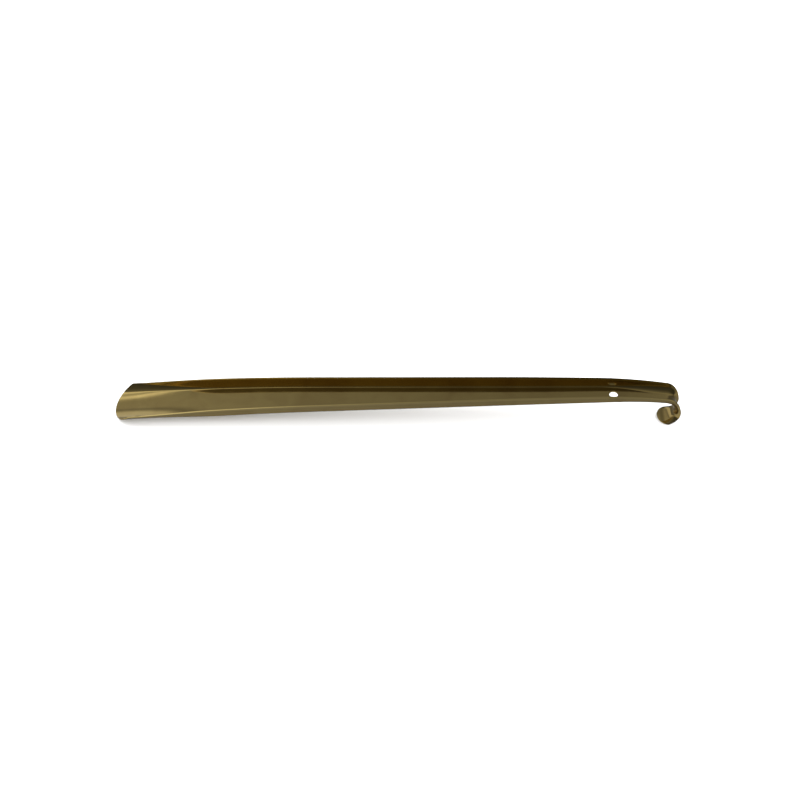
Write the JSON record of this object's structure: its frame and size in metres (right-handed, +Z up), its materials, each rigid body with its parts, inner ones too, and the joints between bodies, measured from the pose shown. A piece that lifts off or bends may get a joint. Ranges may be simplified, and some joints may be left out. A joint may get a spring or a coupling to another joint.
{
  "type": "long shoehorn",
  "caption": "Long shoehorn pressed from one strip of polished brass, with a wide blade, a tapering channel shank, a hang hole and a curled hook at the end.",
  "frame": {"origin": "centre of the footprint on the table that the shoehorn lies on, under the middle of its overall box", "axes": "+X from the blade's tip towards the hook, +Z up out of the open channel, +Y across the shoehorn"},
  "size_m": [0.52, 0.0458, 0.0363],
  "materials": {
    "polished_brass": "mirror polished brass sheet with a thin clear lacquer"
  },
  "bodies": {
    "root": {"shoehorn_body": "polished_brass"}
  },
  "joints": []
}
